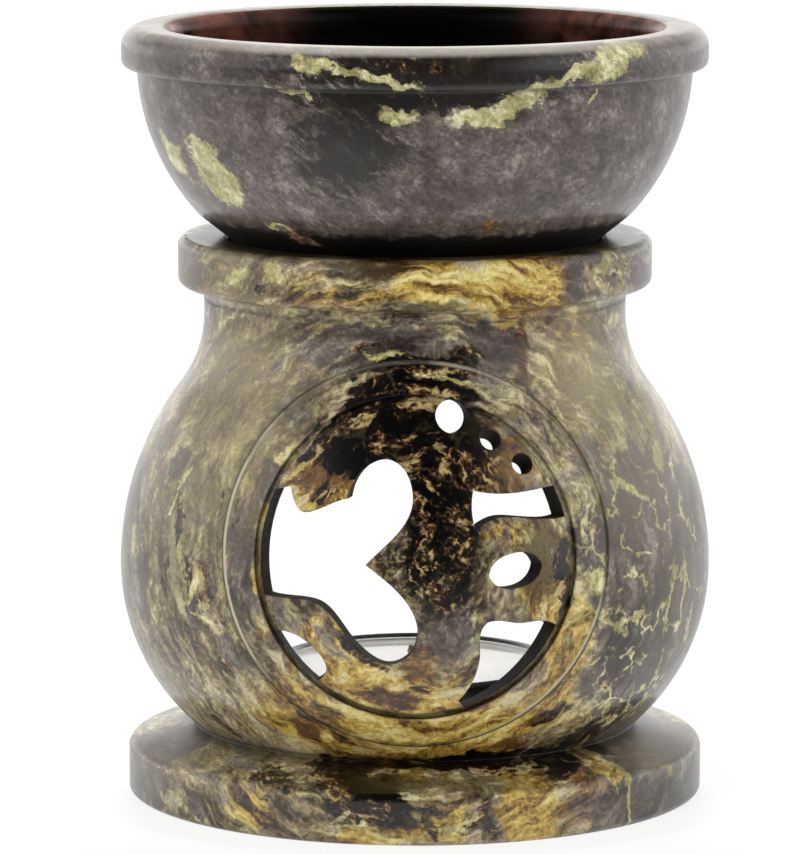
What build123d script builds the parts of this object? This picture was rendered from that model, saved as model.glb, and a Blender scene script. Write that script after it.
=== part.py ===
"""Turned soapstone oil burner: a pierced stone body, a lift-off stone bowl and a tealight.

Millimetres, +Z up. The origin is the centre of the underside of the base disc.
The pierced front faces -Y and the arched mouth for the tealight faces +Y.
"""

from build123d import *

import os
from math import atan2, cos, radians, sin, sqrt, tan

# Base disc of the body
base_radius = 39.0
base_rim_height = 6.8
base_upper_round = 1.3
base_lower_round = 0.7

# Belly of the body: it leaves the disc at the foot, is widest at belly_height
# and draws in to the neck
foot_radius = 29.9
foot_height = 9.4
belly_radius = 40.0
belly_height = 31.2
belly_arc_radius = 40.5
neck_radius = 28.5
neck_height = 65.4
wall = 4.0

# Collar on the neck, with the rebate that the bowl stands in
collar_radius = 32.0
collar_bottom = 69.2
collar_top = 75.8
collar_edge_round = 1.2
collar_cove_round = 2.0
rebate_radius = 25.2
rebate_depth = 3.0
rebate_mouth_chamfer = 0.6
flue_radius = 21.5
flue_land = 3.0

# Chamber and the arched mouth behind it
chamber_floor_height = 7.0
chamber_floor_inset = 7.3
mouth_width = 44.0
mouth_spring_height = 31.0

# Pierced front. Both engraved circles and the openings are laid out from one centre, as seen
# from the front
motif_height = 37.3
opening_circle_radius = 20.3
groove_circle_radius = 20.6
groove_width = 0.8
groove_depth = 0.5
scribe_circle_radius = 25.1
scribe_width = 0.5
scribe_depth = 0.3
oval_centre = (13.0, -1.0)
oval_half_width = 3.5
oval_half_height = 2.3
oval_lean = 9.0

# Round holes of the motif: across, rise, radius and the rise on the axis that they aim at
dot_hole = (4.8, 18.3, 2.2, 14.0)
upper_pin_hole = (9.8, 15.4, 1.4, 0.0)
lower_pin_hole = (13.9, 12.3, 1.45, -4.0)

# How far behind the axis the side walls of the openings would meet, and how steeply all of
# their walls dip on the way in
left_meet = 35.0
leaf_meet = 250.0
right_meet = 8.0
wall_dip = 5.0

# Bowl. Its corner and its rim are placed by their rise above the collar
bowl_foot_clearance = 0.4
bowl_foot_height = 2.6
bowl_corner_radius = 29.2
bowl_corner_rise = 3.1
bowl_side_bulge = 1.9
rim_radius = 39.5
rim_width = 6.9
rim_step = 2.1
rim_band_height = 5.6
rim_rise = 28.4
rim_outer_round = 2.7
rim_lower_round = 1.1
rim_inner_round = 2.0
bowl_floor_thickness = 7.0
bowl_floor_radius = 13.0
bowl_straight_height = 7.0

# Tealight
cup_top_radius = 18.8
cup_base_radius = 18.2
cup_height = 10.5
cup_wall = 0.35
cup_rim_round = 0.45
wax_height = 9.6
wax_dish = 0.4
wax_clearance = 0.1
wick_radius = 0.8
wick_height = 12.4
wick_clearance = 0.05
sustainer_radius = 7.0
sustainer_plate = 0.3
sustainer_neck_radius = 1.5
sustainer_neck_height = 4.0

# Sizes that follow from the ones above
seat_height = collar_top - rebate_depth
bowl_foot_radius = rebate_radius - bowl_foot_clearance
bowl_floor_height = seat_height + bowl_floor_thickness
bowl_corner_height = collar_top + bowl_corner_rise
bowl_neck_radius = rim_radius - rim_step
rim_top = collar_top + rim_rise
rim_inner_radius = rim_radius - rim_width
rim_bottom = rim_top - rim_band_height
chamber_floor_radius = foot_radius - chamber_floor_inset
far = 2 * (base_radius + belly_radius)
near_zero = 0.01

# The piercing tools reach from outside the belly to well inside its wall, in belly radii
tool_outside = 1.2
tool_inside = 0.5


def arc_radius(across, up):
    """Radius of an arc that is upright at one end and moves across while it goes up."""
    return (across**2 + up**2) / (2 * across)


foot_arc_radius = arc_radius(belly_radius - foot_radius, belly_height - foot_height)
cove_radius = arc_radius(belly_radius - neck_radius, neck_height - belly_height) - belly_arc_radius
turn_angle = 2 * atan2(belly_radius - neck_radius, neck_height - belly_height)


def turned(lines):
    """A solid of revolution about Z from a closed half outline drawn as (radius, height)."""
    return revolve(Plane.XZ * make_face(lines), axis=Axis.Z)


def chain(*points):
    """Straight runs from point to point."""
    return [Line(a, b) for a, b in zip(points[:-1], points[1:])]


def circles(shape, radius, height):
    """The round edges of a turned solid with this radius at this height."""
    rings = shape.edges().filter_by(GeomType.CIRCLE)
    level = [e for e in rings if abs(e.arc_center.Z - height) < near_zero]
    return [e for e in level if abs(e.radius - radius) < near_zero]


def neck_point(inset):
    """The end of the belly's outline at the neck, moved in by inset."""
    return neck_radius - inset, neck_height


def foot_point(inset):
    """The start of the belly's outline at the foot, moved in by inset."""
    centre_across = belly_radius - foot_arc_radius
    share = (foot_arc_radius - inset) / foot_arc_radius
    return (
        centre_across + share * (foot_radius - centre_across),
        belly_height + share * (foot_height - belly_height),
    )


def belly_lines(inset):
    """The belly's half outline moved in by inset: three tangent arcs from the foot to the neck."""
    widest = (belly_radius - inset, belly_height)
    arc = belly_arc_radius - inset
    turning = (
        belly_radius - belly_arc_radius + arc * cos(turn_angle),
        belly_height + arc * sin(turn_angle),
    )
    lower = TangentArc(widest, foot_point(inset), tangent=(0, -1))
    upper = TangentArc(widest, turning, tangent=(0, 1))
    cove = TangentArc(neck_point(inset), turning, tangent=(0, -1))
    return [lower, upper, cove]


def outer_radius(height):
    """Radius of the outside of the belly at a height."""
    rise = height - belly_height
    if rise < 0:
        return belly_radius - foot_arc_radius + sqrt(foot_arc_radius**2 - rise**2)
    if rise < belly_arc_radius * sin(turn_angle):
        return belly_radius - belly_arc_radius + sqrt(belly_arc_radius**2 - rise**2)
    return neck_radius + cove_radius - sqrt(cove_radius**2 - (neck_height - height) ** 2)


def front_point(x, rise):
    """The point on the belly's front at x and at rise above the motif's centre."""
    height = motif_height + rise
    return Vector(x, -sqrt(outer_radius(height) ** 2 - x**2), height)


def body_blank():
    """The turned outside of the body: base disc, belly, neck and collar."""
    disc = chain((0, 0), (base_radius, 0), (base_radius, base_rim_height), foot_point(0))
    collar = chain(
        neck_point(0),
        (neck_radius, collar_bottom),
        (collar_radius, collar_bottom),
        (collar_radius, collar_top),
        (0, collar_top),
        (0, 0),
    )
    blank = turned(disc + belly_lines(0) + collar)
    blank = fillet(circles(blank, base_radius, 0), base_lower_round)
    blank = fillet(circles(blank, base_radius, base_rim_height), base_upper_round)
    collar_edges = circles(blank, collar_radius, collar_bottom)
    collar_edges += circles(blank, collar_radius, collar_top)
    blank = fillet(collar_edges, collar_edge_round)
    return fillet(circles(blank, neck_radius, collar_bottom), collar_cove_round)


def chamber():
    """The hollow inside the belly, the flue through the collar and the bowl's rebate."""
    top = chain(
        neck_point(wall),
        (flue_radius, seat_height - flue_land),
        (flue_radius, seat_height),
        (rebate_radius, seat_height),
        (rebate_radius, collar_top - rebate_mouth_chamfer),
        (rebate_radius + rebate_mouth_chamfer, collar_top),
        (0, collar_top),
        (0, chamber_floor_height),
        (chamber_floor_radius, chamber_floor_height),
        foot_point(wall),
    )
    return turned(belly_lines(wall) + top)


def rear_mouth():
    """The arch that the tealight goes in by: flat sill, straight sides and a round head."""
    half = mouth_width / 2
    left_spring = (-half, mouth_spring_height)
    right_spring = (half, mouth_spring_height)
    head = ThreePointArc(right_spring, (0, mouth_spring_height + half), left_spring)
    sides = chain(
        left_spring,
        (-half, chamber_floor_height),
        (half, chamber_floor_height),
        right_spring,
    )
    return extrude(Plane.XZ * make_face([head] + sides), amount=-far)


def pierced(outline, meet):
    """A piercing whose walls dip a little and run in towards a line at meet behind the axis.

    outline is a closed list of strokes. A stroke is a list of front-view points: two make a
    straight edge and more make a smooth one.
    """

    def section(share):
        edges = []
        for stroke in outline:
            points = []
            for x, rise in stroke:
                front = front_point(x, rise)
                depth = -share * belly_radius
                narrowing = (meet - depth) / (meet - front.Y)
                drop = (depth - front.Y) * tan(radians(wall_dip))
                points.append(Vector(x * narrowing, depth, front.Z - drop))
            edges.append(Line(*points) if len(points) == 2 else Spline(*points))
        return Wire(edges)

    return Solid.make_loft([section(tool_outside), section(tool_inside)], ruled=True)


def drilled(x, rise, radius, aim_rise):
    """A round hole through the wall, drilled at the axis at aim_rise above the motif's centre."""
    target = Vector(0, 0, motif_height + aim_rise)
    ray = front_point(x, rise) - target
    start = Plane(origin=target + ray * tool_inside, z_dir=ray)
    return extrude(start * Circle(radius), amount=ray.length)


def opening_arc(from_angle, to_angle):
    """Five points of the circle that bounds the openings, between two angles in degrees."""
    angles = [radians(from_angle + (to_angle - from_angle) * i / 4) for i in range(5)]
    return [(opening_circle_radius * cos(a), opening_circle_radius * sin(a)) for a in angles]


def joined(*strokes):
    """A closed outline: each stroke starts where the stroke before it ends."""
    starts = [stroke[-1] for stroke in strokes]
    return [[starts[i - 1]] + stroke for i, stroke in enumerate(strokes)]


def left_opening():
    """The large opening on the left, with the two lobes of the sign's figure."""
    edge = opening_arc(154, 193)
    lower_lobe = [
        (-15.0, -4.8), (-12.4, -5.4), (-10.7, -7.0), (-8.8, -9.6), (-6.3, -12.0), (-3.3, -13.2),
        (-0.8, -12.0), (0.3, -8.8), (-0.9, -5.2), (-3.4, -2.4), (-6.5, 0.0),
    ]
    upper_lobe = [
        (-4.4, 1.9), (-2.2, 4.0), (-0.5, 7.0), (-0.5, 9.9), (-1.6, 12.2), (-3.5, 13.2),
        (-6.0, 12.5), (-7.9, 10.6), (-8.7, 8.3),
    ]
    beak = [(-10.4, 7.8), (-12.6, 6.8), (-14.9, 6.4), (-15.8, 7.6), (-16.2, 9.4)]
    return joined(edge[1:], lower_lobe, upper_lobe, beak, [edge[0]])


def leaf_opening():
    """The small leaf at the lower left."""
    edge = opening_arc(207, 231)
    return joined(edge[1:], [(-11.6, -14.0), (-13.1, -11.4), (-15.2, -9.8), edge[0]])


def bar_opening():
    """The long bar at the upper right."""
    edge = opening_arc(27.5, 15.5)
    under = [(16.8, 5.3), (13.6, 5.7), (10.8, 5.8), (9.0, 5.2), (7.8, 4.4)]
    end = [(7.3, 7.0), (7.5, 9.3)]
    return joined(edge[1:], under, end, [(10.6, 8.8), (14.4, 8.9), edge[0]])


def oval_opening():
    """The oval between the bar and the horn: it leans up a little to the right."""
    lean = radians(oval_lean)
    points = []
    for angle in range(0, 360, 45):
        p = oval_half_width * cos(radians(angle))
        q = oval_half_height * sin(radians(angle))
        x = oval_centre[0] + p * cos(lean) - q * sin(lean)
        points.append((x, oval_centre[1] + p * sin(lean) + q * cos(lean)))
    return joined(points[1:5], points[5:] + points[:1])


def horn_opening():
    """The curved horn at the lower right."""
    edge = opening_arc(335, 288)
    inner = [(7.6, -15.3), (8.4, -12.0), (8.5, -8.9), (9.4, -7.6)]
    top = [(11.4, -7.5), (13.4, -7.9), (15.4, -7.8), edge[0]]
    return joined(edge[1:], [(5.6, -18.3)], inner, top)


def circle_cut(radius, width, depth):
    """A shallow cut into the belly's front along a circle of the front view."""
    ring = Circle(radius + width / 2) - Circle(radius - width / 2)
    tube = extrude(Plane.XZ * Pos(0, motif_height) * ring, amount=far)
    low = foot_point(depth)
    ends = chain(neck_point(depth), (0, neck_height), (0, low[1]), low)
    return tube - turned(belly_lines(depth) + ends)


def burner_body():
    """The one stone: base disc, belly with its piercings and mouth, neck and collar."""
    body = body_blank() - chamber() - rear_mouth()
    tools = [pierced(left_opening(), left_meet), pierced(leaf_opening(), leaf_meet)]
    right = (bar_opening(), oval_opening(), horn_opening())
    tools += [pierced(outline, right_meet) for outline in right]
    tools += [drilled(*hole) for hole in (dot_hole, upper_pin_hole, lower_pin_hole)]
    tools.append(circle_cut(groove_circle_radius, groove_width, groove_depth))
    tools.append(circle_cut(scribe_circle_radius, scribe_width, scribe_depth))
    for tool in tools:
        body = body - tool
    return body


def oil_bowl():
    """The bowl: a foot that drops into the rebate, a bulging side and a heavy rim."""
    corner = (bowl_corner_radius, bowl_corner_height)
    side_top = (bowl_neck_radius, rim_bottom)
    wall_foot = (rim_inner_radius, rim_top - bowl_straight_height)
    floor_edge = (bowl_floor_radius, bowl_floor_height)
    under = chain(
        (0, seat_height),
        (bowl_foot_radius, seat_height),
        (bowl_foot_radius, seat_height + bowl_foot_height),
        corner,
    )
    side = SagittaArc(corner, side_top, -bowl_side_bulge)
    rim = chain(
        side_top,
        (rim_radius, rim_bottom),
        (rim_radius, rim_top),
        (rim_inner_radius, rim_top),
        wall_foot,
    )
    hollow = TangentArc(floor_edge, wall_foot, tangent=(1, 0))
    floor = chain(floor_edge, (0, bowl_floor_height), (0, seat_height))
    bowl = turned(under + [side] + rim + [hollow] + floor)
    bowl = fillet(circles(bowl, rim_radius, rim_top), rim_outer_round)
    bowl = fillet(circles(bowl, rim_inner_radius, rim_top), rim_inner_round)
    return fillet(circles(bowl, rim_radius, rim_bottom), rim_lower_round)


def tealight_cup():
    """A thin drawn cup with a rolled rim."""
    lines = chain(
        (0, 0),
        (cup_base_radius, 0),
        (cup_top_radius, cup_height - cup_rim_round),
        (cup_top_radius - cup_wall, cup_height - cup_rim_round),
        (cup_base_radius - cup_wall, cup_wall),
        (0, cup_wall),
        (0, 0),
    )
    rim = Pos(0, 0, cup_height - cup_rim_round) * Torus(cup_top_radius, cup_rim_round)
    return turned(lines) + rim


def wick_sustainer(clearance=0):
    """The plate and neck that hold the wick, or the hollow that they leave in the wax."""
    plate_top = cup_wall + sustainer_plate
    plate = Pos(0, 0, cup_wall) * Cylinder(
        sustainer_radius + clearance, sustainer_plate + clearance, align=base_align
    )
    neck = Pos(0, 0, cup_wall) * Cylinder(
        sustainer_neck_radius + clearance, sustainer_neck_height + clearance, align=base_align
    )
    if clearance:
        return plate + neck
    bore = Pos(0, 0, plate_top) * Cylinder(
        wick_radius + wick_clearance, sustainer_neck_height, align=base_align
    )
    return plate + neck - bore


def tealight_wax():
    """The wax: it stands on the cup's floor, with a shallow dish round the wick."""
    draft = (cup_top_radius - cup_base_radius) / (cup_height - cup_rim_round)
    low = cup_base_radius - cup_wall - wax_clearance
    high = low + draft * (wax_height - cup_wall)
    sides = chain((0, wax_height - wax_dish), (0, cup_wall), (low, cup_wall), (high, wax_height))
    dish = TangentArc((0, wax_height - wax_dish), (high, wax_height), tangent=(1, 0))
    wick_way = Cylinder(wick_radius + wick_clearance, wax_height, align=base_align)
    return turned(sides + [dish]) - wick_sustainer(wax_clearance) - wick_way


def wick():
    """The wick: it stands on the sustainer's plate and has a rounded tip."""
    start = cup_wall + sustainer_plate
    stem = Pos(0, 0, start) * Cylinder(wick_radius, wick_height - start, align=base_align)
    return fillet(circles(stem, wick_radius, wick_height), wick_radius / 2)


base_align = (Align.CENTER, Align.CENTER, Align.MIN)
on_floor = Pos(0, 0, chamber_floor_height)

pieces = {
    "burner_body": burner_body(),
    "oil_bowl": oil_bowl(),
    "tealight_cup": on_floor * tealight_cup(),
    "tealight_wax": on_floor * tealight_wax(),
    "wick_sustainer": on_floor * wick_sustainer(),
    "wick": on_floor * wick(),
}

os.makedirs("parts", exist_ok=True)
for name, piece in pieces.items():
    export_step(piece, "parts/" + name + ".step")
    print(name, piece.is_valid, len(piece.solids()), round(piece.volume, 1), piece.bounding_box())
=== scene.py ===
"""Dresses the soapstone oil burner: stone, metal, wax and cotton finishes, studio and camera.

Metres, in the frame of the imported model: +Z up, with the pierced front towards -Y.
"""

from math import pi, radians

import bpy
import numpy as np
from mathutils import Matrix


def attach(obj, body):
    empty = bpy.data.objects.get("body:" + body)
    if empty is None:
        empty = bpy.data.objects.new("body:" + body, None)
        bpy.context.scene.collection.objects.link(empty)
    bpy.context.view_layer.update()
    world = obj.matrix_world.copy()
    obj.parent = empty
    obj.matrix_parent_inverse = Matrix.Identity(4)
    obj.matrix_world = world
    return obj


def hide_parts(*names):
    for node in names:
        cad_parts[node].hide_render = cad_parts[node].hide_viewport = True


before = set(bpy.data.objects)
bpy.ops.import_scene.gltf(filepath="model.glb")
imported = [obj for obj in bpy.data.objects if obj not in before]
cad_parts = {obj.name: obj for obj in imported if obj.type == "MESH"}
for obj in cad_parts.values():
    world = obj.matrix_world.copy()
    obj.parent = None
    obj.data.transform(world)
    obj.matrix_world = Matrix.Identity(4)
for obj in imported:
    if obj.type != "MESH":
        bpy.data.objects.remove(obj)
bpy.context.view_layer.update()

mm = 0.001

# Camera of the photograph: where it stands, how far it looks down and how long its lens is.
# The frame is 802 by 854 pixels and the burner stands a little right of its middle
frame_long_side = 854
lens_pixels = 5882.4
axis_right_of_middle = 14
camera_distance = 789.3 * mm
camera_height = 169.8 * mm
camera_pitch = 8.67
sensor_width = 36.0

# Bowl, as turned
seat_height = 72.8 * mm
bowl_foot_radius = 24.8 * mm
bowl_foot_height = 2.6 * mm
bowl_corner = (29.2 * mm, 78.9 * mm)
bowl_side_bulge = 1.9 * mm
bowl_neck = (37.4 * mm, 98.6 * mm)
rim_radius = 39.5 * mm
rim_inner_radius = 32.6 * mm
rim_top = 104.2 * mm
rim_outer_round = 2.7 * mm
rim_inner_round = 2.0 * mm
rim_lower_round = 1.1 * mm
bowl_hollow_foot = (32.6 * mm, 97.2 * mm)
bowl_floor_edge = (13.0 * mm, 79.8 * mm)
bowl_step = 0.45 * mm
bowl_segments = 320
bowl_edge_softness = 0.35 * mm
tool_line_depth = 0.35 * mm

# Bands of the bowl: painted shade on its underside, which is also left matt, painted shade in the tool
# line, a pale lip that is partly wear and partly a painted highlight, and the red of its hollow. Each
# pair says where a band starts and where it is full
underside_shade_and_matt = (79.3 * mm, 78.4 * mm)
tool_line_shade = (0.5 * mm, 0.1 * mm)
lip_wear_and_highlight = (102.9 * mm, 103.7 * mm)
lip_highlight_fade = (15 * mm, 34 * mm)
hollow_red_height = (95 * mm, 102 * mm)
hollow_red_aside = (13 * mm, 26 * mm)
hollow_ring_pitch = 1.4 * mm

# How much of the mottling and of the brushed lines is kept in the bowl's rock
bowl_mottling = 0.65
bowl_brushing = 0.6

# Pierced front: both engraved circles have this centre, seen from the front. Their pairs say how far
# from the line its paint starts and where it is full, and how it fades with the height. The groove's
# dark paint is painted shade in its recess
motif_height = 37.3 * mm
groove_circle_radius = 20.6 * mm
groove_paint = (0.75 * mm, 0.3 * mm)
groove_fade = (12 * mm, -6 * mm)
scribe_circle_radius = 25.1 * mm
scribe_paint = (0.36 * mm, 0.12 * mm)

# Body, with where the painted shade in its chamber and cut walls, the painted shadow on its seat under
# the bowl and the painted shade at its foot start and are full
belly_height = 31.2 * mm
foot_height = 9.4 * mm
foot_shade = (1.0 * mm, 0.2 * mm)
chamber_low = (10.5 * mm, 11.5 * mm)
chamber_high = (68 * mm, 67 * mm)
seat_shadow_height = (75.0 * mm, 75.5 * mm)
seat_shadow_reach = (31.2 * mm, 28.5 * mm)
front_half = (-4 * mm, -12 * mm)
unrolled_radius = 40.0 * mm
unrolled_push = 4.5 * mm

# Tealight
tealight_floor = 7.0 * mm
cup_base_radius = 18.2 * mm
cup_top_radius = 18.8 * mm
cup_height = 10.5 * mm
cup_wall = 0.35 * mm
cup_rim_round = 0.45 * mm
cup_flutes = 56
cup_flute_depth = 0.3 * mm
wax_height = 9.6 * mm
wax_dish = 0.12 * mm
wax_clearance = 0.1 * mm
wax_creep = 0.45 * mm
wax_creep_reach = 0.4 * mm
wax_climb = 0.5 * mm
wax_climb_reach = 0.7 * mm
wick_radius = 0.78 * mm
wick_foot = 0.65 * mm
wick_height = 12.4 * mm
wick_bend = 0.5 * mm
wick_lobes = 3
wick_lobe_depth = 0.09
wick_turns = 4.5
wick_knots = 16
wick_knot_depth = 0.04

# Studio: how bright the surroundings are in reflections and in diffuse light, where the floor's
# front goes dark in reflections, and the soft lamps: place, what they point at and power
mirrored_white = 1.55
mirrored_room = 0.02
diffuse_room = 0.28
diffuse_back = 0.69
floor_half = 3.0
floor_glow = 0.84
floor_front = (-0.06, -0.3)
lamp_size = 0.5
soft_lamps = {
    "key_lamp": ((-0.45, -0.75, 0.75), (0, 0, 0.06), 4.0),
    "fill_lamp": ((0.6, -0.6, 0.35), (0, 0, 0.06), 1.4),
    "mouth_lamp": ((0, 1.4, 1.1), (0, 0, 0.02), 26.0),
}
rim_lamp_rise = 0.5
rim_lamp_power = 9.0
rim_lamp_radius = 0.02


# Surfaces


def run(start, end, step):
    """Points on a straight line from start to end, about a step apart, without the last."""
    start, end = np.array(start), np.array(end)
    count = max(int(np.hypot(*(end - start)) / step), 1)
    share = np.arange(count)[:, None] / count
    return start + (end - start) * share


def sweep(centre, radius, from_angle, to_angle, step):
    """Points on an arc about centre: centre + radius (cos a, sin a), without the last."""
    turn = radians(to_angle - from_angle)
    count = max(int(abs(turn) * radius / step), 4)
    angle = radians(from_angle) + turn * np.arange(count) / count
    return np.array(centre) + radius * np.stack([np.cos(angle), np.sin(angle)], axis=1)


def bow(start, end, bulge, step):
    """Points on the arc from start to end that stands bulge to the right of their chord."""
    start, end = np.array(start), np.array(end)
    chord = end - start
    half = np.hypot(*chord) / 2
    radius = (half**2 + bulge**2) / (2 * bulge)
    right = np.array([chord[1], -chord[0]]) / (2 * half)
    centre = (start + end) / 2 + right * (bulge - radius)
    first = np.degrees(np.arctan2(*(start - centre)[::-1]))
    last = np.degrees(np.arctan2(*(end - centre)[::-1]))
    return sweep(centre, radius, first, last, step)


def softened(outline, reach, step):
    """An even outline whose corners are rounded: resampled by its length and then averaged over
    about reach with a bell-shaped weight. Its two ends stay in place."""
    length = np.concatenate([[0], np.cumsum(np.hypot(*np.diff(outline, axis=0).T))])
    even = np.linspace(0, length[-1], int(length[-1] / step))
    points = np.stack([np.interp(even, length, outline[:, i]) for i in (0, 1)], axis=1)
    spread = max(int(3 * reach / step), 1)
    weight = np.exp(-0.5 * (np.arange(-spread, spread + 1) * step / reach) ** 2)
    weight /= weight.sum()
    padded = np.concatenate([
        2 * points[:1] - points[spread:0:-1],
        points,
        2 * points[-1:] - points[-2 : -spread - 2 : -1],
    ])
    return np.stack([np.convolve(padded[:, i], weight, mode="valid") for i in (0, 1)], axis=1)


def skin(name, rings, low_pole, high_pole):
    """A closed mesh from rings of points, shape (rings, segments, 3), with a pole at each end.

    Quads join each ring to the next, and a fan of triangles closes each end.
    """
    count, segments = rings.shape[:2]
    points = np.concatenate([rings.reshape(-1, 3), [low_pole], [high_pole]])
    here = np.arange(segments)
    after = (here + 1) % segments
    row = (np.arange(count - 1) * segments)[:, None]
    quads = np.stack([row + here, row + after, row + segments + after, row + segments + here], axis=-1)
    low = np.stack([np.full(segments, count * segments), after, here], axis=-1)
    top = (count - 1) * segments
    high = np.stack([np.full(segments, count * segments + 1), top + here, top + after], axis=-1)
    mesh = bpy.data.meshes.new(name)
    mesh.from_pydata(points.tolist(), [], quads.reshape(-1, 4).tolist() + low.tolist() + high.tolist())
    mesh.polygons.foreach_set("use_smooth", np.ones(len(mesh.polygons), dtype=bool))
    mesh.update()
    return mesh


def turned(name, outline, segments, ripple=None):
    """A turned solid: outline (radius, height) goes round Z, from its foot out and back to the axis.

    The point is (r cos a, r sin a, z). ripple(angle, outline) gives an inward share of r.
    """
    angle = 2 * pi * np.arange(segments) / segments
    inner = outline[1:-1]
    radius = np.repeat(inner[:, :1], segments, axis=1)
    if ripple:
        radius = radius - ripple(angle[None, :], inner)
    height = np.repeat(inner[:, 1:], segments, axis=1)
    rings = np.stack([radius * np.cos(angle), radius * np.sin(angle), height], axis=-1)
    return skin(name, rings, (0, 0, outline[0, 1]), (0, 0, outline[-1, 1]))


def piece(mesh, body, node, material):
    """Puts a mesh into the scene as a piece that rides on a body and stands for a node."""
    made = bpy.data.objects.new(mesh.name, mesh)
    bpy.context.collection.objects.link(made)
    mesh.materials.append(material)
    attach(made, body)
    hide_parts(node)
    return made


def bowl_mesh():
    """The bowl's outline: foot, flared underside, bulging side, tool line, heavy rim and hollow."""
    step = bowl_step
    floor_r, floor_z = bowl_floor_edge
    wall_r, wall_z = bowl_hollow_foot
    hollow_radius = ((wall_r - floor_r) ** 2 + (wall_z - floor_z) ** 2) / (2 * (wall_z - floor_z))
    hollow_centre = (floor_r, floor_z + hollow_radius)
    hollow_end = np.degrees(np.arctan2(wall_z - hollow_centre[1], wall_r - hollow_centre[0]))
    neck_r, neck_z = bowl_neck
    lip_r = rim_inner_radius + rim_inner_round
    outline = np.concatenate([
        run((0, seat_height), (bowl_foot_radius, seat_height), step),
        run((bowl_foot_radius, seat_height), (bowl_foot_radius, seat_height + bowl_foot_height), step),
        run((bowl_foot_radius, seat_height + bowl_foot_height), bowl_corner, step),
        bow(bowl_corner, bowl_neck, bowl_side_bulge, step),
        run(bowl_neck, (neck_r - tool_line_depth, neck_z + tool_line_depth), step),
        run((neck_r, neck_z + tool_line_depth), (rim_radius - rim_lower_round, neck_z), step),
        sweep((rim_radius - rim_lower_round, neck_z + rim_lower_round), rim_lower_round, -90, 0, step),
        run((rim_radius, neck_z + rim_lower_round), (rim_radius, rim_top - rim_outer_round), step),
        sweep((rim_radius - rim_outer_round, rim_top - rim_outer_round), rim_outer_round, 0, 90, step),
        run((rim_radius - rim_outer_round, rim_top), (lip_r, rim_top), step),
        sweep((lip_r, rim_top - rim_inner_round), rim_inner_round, 90, 180, step),
        run((rim_inner_radius, rim_top - rim_inner_round), bowl_hollow_foot, step),
        sweep(hollow_centre, hollow_radius, hollow_end, -90, step),
        run(bowl_floor_edge, (0, floor_z), step),
        [(0, floor_z)],
    ])
    return turned("oil_bowl_stone", softened(outline, bowl_edge_softness, bowl_step), bowl_segments)


def line_hollow(mesh, material):
    """Gives the hollow a material of its own: the faces that look at the axis, or up from below
    the lip."""
    mesh.materials.append(material)
    middle = np.empty(3 * len(mesh.polygons))
    normal = np.empty(3 * len(mesh.polygons))
    mesh.polygons.foreach_get("center", middle)
    mesh.polygons.foreach_get("normal", normal)
    x, y, z = middle.reshape(-1, 3).T
    from_axis = np.hypot(x, y)
    out = (normal.reshape(-1, 3) * middle.reshape(-1, 3))[:, :2].sum(axis=1) / from_axis
    up = normal.reshape(-1, 3)[:, 2]
    below_lip = (z < bowl_hollow_foot[1]) & (from_axis < rim_inner_radius)
    inside = (out < -0.45) | ((up > 0.4) & below_lip)
    mesh.polygons.foreach_set("material_index", inside.astype(np.int32))


def cup_mesh():
    """The cup's outline: base, fluted side, rolled rim, and the same wall back down inside."""
    step = 0.3 * mm
    lip = cup_height - cup_rim_round
    outline = np.concatenate([
        run((0, 0), (cup_base_radius, 0), 4 * step),
        run((cup_base_radius, 0), (cup_top_radius, lip - cup_rim_round), step),
        sweep((cup_top_radius, lip), cup_rim_round, -90, 120, step / 2),
        run((cup_top_radius - cup_wall, lip), (cup_base_radius - cup_wall, cup_wall), step),
        run((cup_base_radius - cup_wall, cup_wall), (0, cup_wall), 4 * step),
        [(0, cup_wall)],
    ]) + (0, tealight_floor)

    def flutes(angle, outline):
        """cos of the flute count times the angle, faded out at the foot and under the rim."""
        rise = (outline[:, 1:] - tealight_floor) / cup_height
        fade = np.clip(rise / 0.1, 0, 1) * np.clip((0.88 - rise) / 0.12, 0, 1)
        side = outline[:, :1] > cup_base_radius - 1.2 * cup_wall
        return side * fade * cup_flute_depth * (0.5 + 0.5 * np.cos(cup_flutes * angle))

    return turned("tealight_cup_sheet", outline, 8 * cup_flutes, flutes)


def wax_mesh():
    """The wax: a shallow dish that creeps up the cup's side and up the wick.

    Its top is the dish's square law, plus one decay away from the cup's side and one away from
    the wick.
    """
    low = cup_base_radius - cup_wall - wax_clearance - cup_flute_depth
    high = low + (cup_top_radius - cup_base_radius) * wax_height / cup_height
    across = np.linspace(high, wick_radius, 90)
    share = across / high
    creep = wax_creep * np.exp(-(high - across) / wax_creep_reach)
    climb = wax_climb * np.exp(-(across - wick_radius) / wax_climb_reach)
    top = np.stack([across, wax_height - wax_dish * (1 - share**2) + creep + climb], axis=1)
    outline = np.concatenate([
        run((0, cup_wall), (low, cup_wall), 1.5 * mm),
        run((low, cup_wall), (high, top[0, 1]), 0.8 * mm),
        top,
        [(0, top[-1, 1])],
    ]) + (0, tealight_floor)
    return turned("tealight_wax_fill", outline, 192)


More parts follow.
